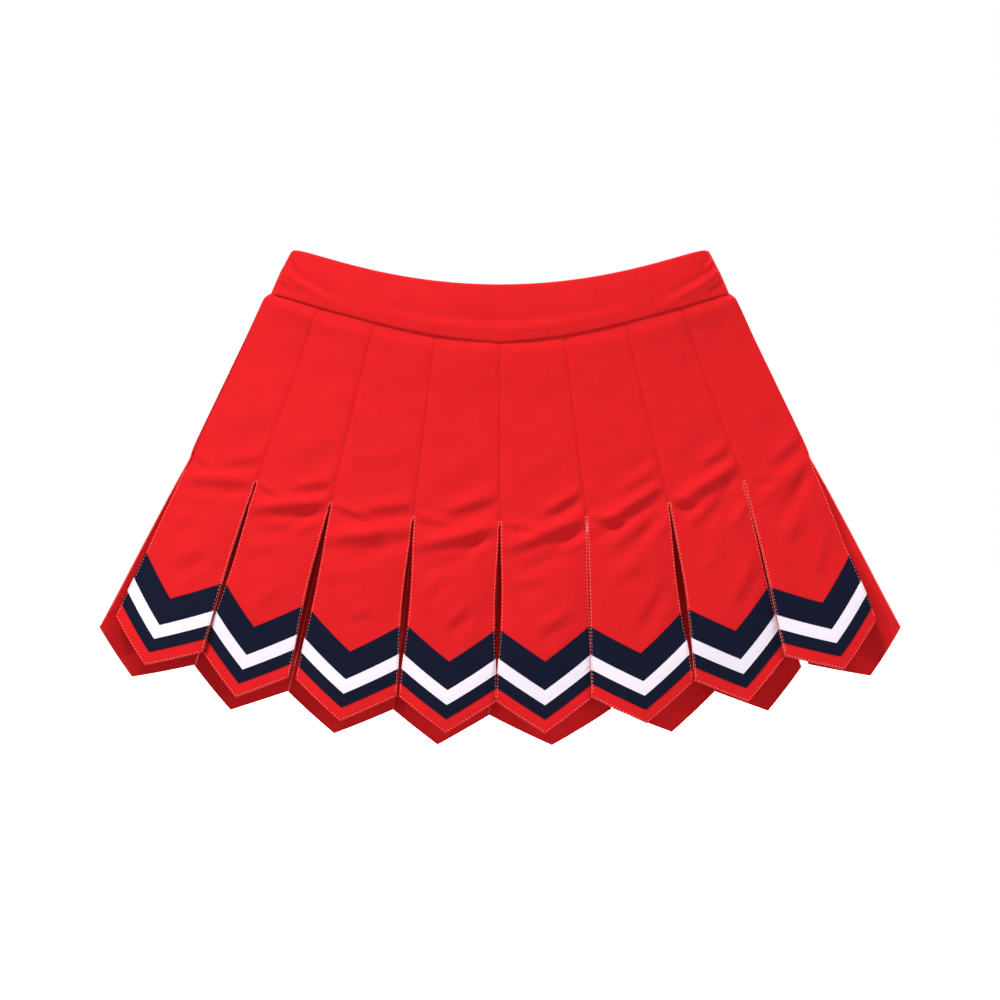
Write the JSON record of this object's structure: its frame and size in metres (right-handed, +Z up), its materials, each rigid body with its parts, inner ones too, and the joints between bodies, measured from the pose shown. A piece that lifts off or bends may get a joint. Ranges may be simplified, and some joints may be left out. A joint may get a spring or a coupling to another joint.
{
  "type": "pleated cheer skirt",
  "caption": "Pull-on cheer skirt with an elastic waistband and free-hanging pointed pleat flaps, each edged with a navy and white chevron trim.",
  "frame": {"origin": "middle of the waist opening, level with the lowest point of the waistband's top edge", "axes": "+Z up to the wearer's waist, +X across the skirt to the wearer's left, the front faces -Y"},
  "size_m": [0.6224, 0.1149, 0.3948],
  "materials": {
    "red_knit": "satin double-knit polyester",
    "red_lining": "matt knit facing",
    "elastic": "ribbed woven elastic",
    "navy_tape": "fine ribbed knit tape",
    "white_tape": "fine ribbed knit tape"
  },
  "bodies": {
    "skirt_body": {"front_waistband": "red_knit", "back_waistband": "red_knit", "front_waistband_facing": "red_lining", "back_waistband_facing": "red_lining", "waist_elastic": "elastic", "front_panel_tops": "red_knit", "back_panel_tops": "red_knit"},
    "front_pleat_1": {"front_flap_1": "red_knit", "front_tape_1": "navy_tape", "front_stripe_1": "white_tape"},
    "front_pleat_2": {"front_flap_2": "red_knit", "front_tape_2": "navy_tape", "front_stripe_2": "white_tape"},
    "front_pleat_3": {"front_flap_3": "red_knit", "front_tape_3": "navy_tape", "front_stripe_3": "white_tape"},
    "front_pleat_4": {"front_flap_4": "red_knit", "front_tape_4": "navy_tape", "front_stripe_4": "white_tape"},
    "front_pleat_5": {"front_flap_5": "red_knit", "front_tape_5": "navy_tape", "front_stripe_5": "white_tape"},
    "front_pleat_6": {"front_flap_6": "red_knit", "front_tape_6": "navy_tape", "front_stripe_6": "white_tape"},
    "front_pleat_7": {"front_flap_7": "red_knit", "front_tape_7": "navy_tape", "front_stripe_7": "white_tape"},
    "front_pleat_8": {"front_flap_8": "red_knit", "front_tape_8": "navy_tape", "front_stripe_8": "white_tape"},
    "back_pleat_1": {"back_flap_1": "red_knit", "back_tape_1": "navy_tape", "back_stripe_1": "white_tape"},
    "back_pleat_2": {"back_flap_2": "red_knit", "back_tape_2": "navy_tape", "back_stripe_2": "white_tape"},
    "back_pleat_3": {"back_flap_3": "red_knit", "back_tape_3": "navy_tape", "back_stripe_3": "white_tape"},
    "back_pleat_4": {"back_flap_4": "red_knit", "back_tape_4": "navy_tape", "back_stripe_4": "white_tape"},
    "back_pleat_5": {"back_flap_5": "red_knit", "back_tape_5": "navy_tape", "back_stripe_5": "white_tape"},
    "back_pleat_6": {"back_flap_6": "red_knit", "back_tape_6": "navy_tape", "back_stripe_6": "white_tape"},
    "back_pleat_7": {"back_flap_7": "red_knit", "back_tape_7": "navy_tape", "back_stripe_7": "white_tape"},
    "back_pleat_8": {"back_flap_8": "red_knit", "back_tape_8": "navy_tape", "back_stripe_8": "white_tape"}
  },
  "joints": [
    {"name": "front_pleat_1_swing", "type": "hinge", "parent": "skirt_body", "child": "front_pleat_1", "pos_m": [-0.22016, -0.00932, -0.14184], "axis": [-0.8777, 0.3132, 0.3626], "range_deg": [0, 75]},
    {"name": "front_pleat_2_swing", "type": "hinge", "parent": "skirt_body", "child": "front_pleat_2", "pos_m": [-0.16416, -0.02588, -0.1613], "axis": [-0.9355, 0.2263, 0.2714], "range_deg": [-6, 75]},
    {"name": "front_pleat_3_swing", "type": "hinge", "parent": "skirt_body", "child": "front_pleat_3", "pos_m": [-0.10153, -0.0377, -0.17561], "axis": [-0.9762, 0.1369, 0.1682], "range_deg": [-10, 75]},
    {"name": "front_pleat_4_swing", "type": "hinge", "parent": "skirt_body", "child": "front_pleat_4", "pos_m": [-0.03438, -0.04387, -0.18322], "axis": [-0.9973, 0.0458, 0.057], "range_deg": [-14, 75]},
    {"name": "front_pleat_5_swing", "type": "hinge", "parent": "skirt_body", "child": "front_pleat_5", "pos_m": [0.03438, -0.04387, -0.18322], "axis": [-0.9973, -0.0458, -0.057], "range_deg": [-14, 75]},
    {"name": "front_pleat_6_swing", "type": "hinge", "parent": "skirt_body", "child": "front_pleat_6", "pos_m": [0.10153, -0.0377, -0.17561], "axis": [-0.9762, -0.1369, -0.1682], "range_deg": [-10, 75]},
    {"name": "front_pleat_7_swing", "type": "hinge", "parent": "skirt_body", "child": "front_pleat_7", "pos_m": [0.16416, -0.02588, -0.1613], "axis": [-0.9355, -0.2263, -0.2714], "range_deg": [-6, 75]},
    {"name": "front_pleat_8_swing", "type": "hinge", "parent": "skirt_body", "child": "front_pleat_8", "pos_m": [0.22016, -0.00932, -0.14184], "axis": [-0.8777, -0.3132, -0.3626], "range_deg": [0, 75]},
    {"name": "back_pleat_1_swing", "type": "hinge", "parent": "skirt_body", "child": "back_pleat_1", "pos_m": [0.22016, 0.00932, -0.14184], "axis": [0.8777, -0.3132, 0.3626], "range_deg": [0, 75]},
    {"name": "back_pleat_2_swing", "type": "hinge", "parent": "skirt_body", "child": "back_pleat_2", "pos_m": [0.16416, 0.02588, -0.1613], "axis": [0.9355, -0.2263, 0.2714], "range_deg": [-6, 75]},
    {"name": "back_pleat_3_swing", "type": "hinge", "parent": "skirt_body", "child": "back_pleat_3", "pos_m": [0.10153, 0.0377, -0.17561], "axis": [0.9762, -0.1369, 0.1682], "range_deg": [-10, 75]},
    {"name": "back_pleat_4_swing", "type": "hinge", "parent": "skirt_body", "child": "back_pleat_4", "pos_m": [0.03438, 0.04387, -0.18322], "axis": [0.9973, -0.0458, 0.057], "range_deg": [-14, 75]},
    {"name": "back_pleat_5_swing", "type": "hinge", "parent": "skirt_body", "child": "back_pleat_5", "pos_m": [-0.03438, 0.04387, -0.18322], "axis": [0.9973, 0.0458, -0.057], "range_deg": [-14, 75]},
    {"name": "back_pleat_6_swing", "type": "hinge", "parent": "skirt_body", "child": "back_pleat_6", "pos_m": [-0.10153, 0.0377, -0.17561], "axis": [0.9762, 0.1369, -0.1682], "range_deg": [-10, 75]},
    {"name": "back_pleat_7_swing", "type": "hinge", "parent": "skirt_body", "child": "back_pleat_7", "pos_m": [-0.16416, 0.02588, -0.1613], "axis": [0.9355, 0.2263, -0.2714], "range_deg": [-6, 75]},
    {"name": "back_pleat_8_swing", "type": "hinge", "parent": "skirt_body", "child": "back_pleat_8", "pos_m": [-0.22016, 0.00932, -0.14184], "axis": [0.8777, 0.3132, -0.3626], "range_deg": [0, 75]}
  ]
}
